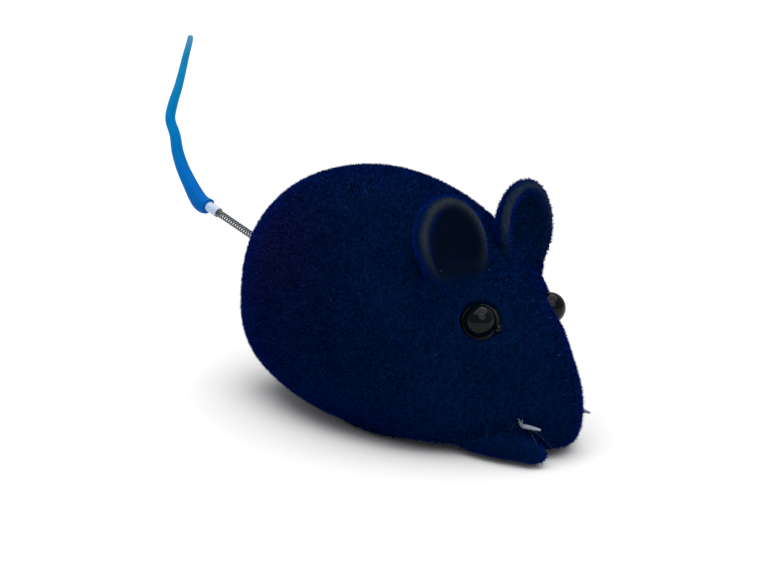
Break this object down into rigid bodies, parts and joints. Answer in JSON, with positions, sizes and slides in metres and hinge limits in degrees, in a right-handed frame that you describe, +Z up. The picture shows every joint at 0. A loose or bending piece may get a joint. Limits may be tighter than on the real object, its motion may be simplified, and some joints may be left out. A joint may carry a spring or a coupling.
{
  "type": "clockwork mouse",
  "caption": "Flocked wind-up mouse: soft shell over a key-wound spring motor and gear train that drives its wheels, with bead eyes and a rubber tail on a coil spring.",
  "frame": {"origin": "on the floor under the centre of the whole bounding box, key and tail included", "axes": "+X towards the nose, +Y towards the left flank and its key, +Z up"},
  "size_m": [0.095, 0.0474, 0.0561],
  "materials": {
    "flock": "short velvet flock on a soft moulded shell",
    "base_plastic": "moulded",
    "steel": "stamped and zinc plated",
    "spring_steel": "blued",
    "brass": "stamped",
    "key_steel": "nickel plated",
    "wheel_plastic": "moulded",
    "tyre_rubber": "matt",
    "tail_rubber": "smooth, slightly see-through at the tip",
    "collar_plastic": "smooth",
    "bead": "polished",
    "nylon": "clear filament"
  },
  "bodies": {
    "chassis": {"body_shell": "flock", "base_plate": "base_plastic", "right_side_plate": "steel", "left_side_plate": "steel", "rear_pillar": "steel", "top_pillar": "steel", "upper_front_pillar": "steel", "lower_front_pillar": "steel", "spring_post": "steel", "mainspring": "spring_steel", "key_bushing": "brass", "front_roller_axle": "steel", "tail_plug": "base_plastic", "right_eye": "bead", "left_eye": "bead", "right_eye_ring": "bead", "left_eye_ring": "bead", "right_eye_washer": "steel", "left_eye_washer": "steel", "right_whiskers": "nylon", "left_whiskers": "nylon"},
    "great_wheel": {"great_wheel": "brass", "click_rivet": "brass", "click_spring": "spring_steel"},
    "click": {"click": "steel"},
    "winder": {"winding_arbor": "steel", "ratchet_wheel": "brass", "winding_key": "key_steel"},
    "second_arbor": {"second_arbor": "steel", "second_pinion": "steel", "second_wheel": "brass"},
    "drive_axle": {"drive_axle": "steel", "drive_pinion": "steel", "right_drive_wheel": "wheel_plastic", "left_drive_wheel": "wheel_plastic", "right_drive_tyre": "tyre_rubber", "left_drive_tyre": "tyre_rubber"},
    "front_roller": {"front_roller": "wheel_plastic"},
    "tail_link": {"tail_spring_inner": "spring_steel"},
    "tail": {"tail_spring_outer": "spring_steel", "tail_collar": "collar_plastic", "tail": "tail_rubber"}
  },
  "joints": [
    {"name": "great_wheel_spin", "type": "hinge", "parent": "chassis", "child": "great_wheel", "pos_m": [0.01233, -0.00536, 0.0185], "axis": [0, 1, 0], "continuous": true},
    {"name": "winder_spin", "type": "hinge", "parent": "chassis", "child": "winder", "pos_m": [0.01233, -0.00536, 0.0185], "axis": [0, 1, 0], "continuous": true, "deforming": ["mainspring"]},
    {"name": "click_pivot", "type": "hinge", "parent": "great_wheel", "child": "click", "pos_m": [0.01816, -0.00536, 0.02062], "axis": [0, 1, 0], "range_deg": [0, 10], "stiffness_Nm_per_rad": 0.0002, "springref_deg": -2.86, "deforming": ["click_spring"]},
    {"name": "second_arbor_spin", "type": "hinge", "parent": "chassis", "child": "second_arbor", "pos_m": [-0.00016, -0.00536, 0.01472], "axis": [0, 1, 0], "continuous": true},
    {"name": "drive_axle_spin", "type": "hinge", "parent": "chassis", "child": "drive_axle", "pos_m": [0.00433, -0.00536, 0.0054], "axis": [0, 1, 0], "continuous": true},
    {"name": "roller_spin", "type": "hinge", "parent": "chassis", "child": "front_roller", "pos_m": [0.02733, -0.00536, 0.0045], "axis": [0, 1, 0], "continuous": true},
    {"name": "tail_yaw", "type": "hinge", "parent": "chassis", "child": "tail_link", "pos_m": [-0.02307, -0.00536, 0.02239], "axis": [0, 0, 1], "range_deg": [-22, 22], "stiffness_Nm_per_rad": 0.0012, "deforming": ["tail_spring_inner"]},
    {"name": "tail_pitch", "type": "hinge", "parent": "tail_link", "child": "tail", "pos_m": [-0.0293, -0.00536, 0.02441], "axis": [0, 1, 0], "range_deg": [-20, 20], "stiffness_Nm_per_rad": 0.0012, "deforming": ["tail_spring_outer"]}
  ],
  "couplings": [
    {"joint": "winder_spin", "follows": "great_wheel_spin", "ratio": 1},
    {"joint": "second_arbor_spin", "follows": "great_wheel_spin", "ratio": -4.8},
    {"joint": "drive_axle_spin", "follows": "great_wheel_spin", "ratio": 17.28}
  ]
}
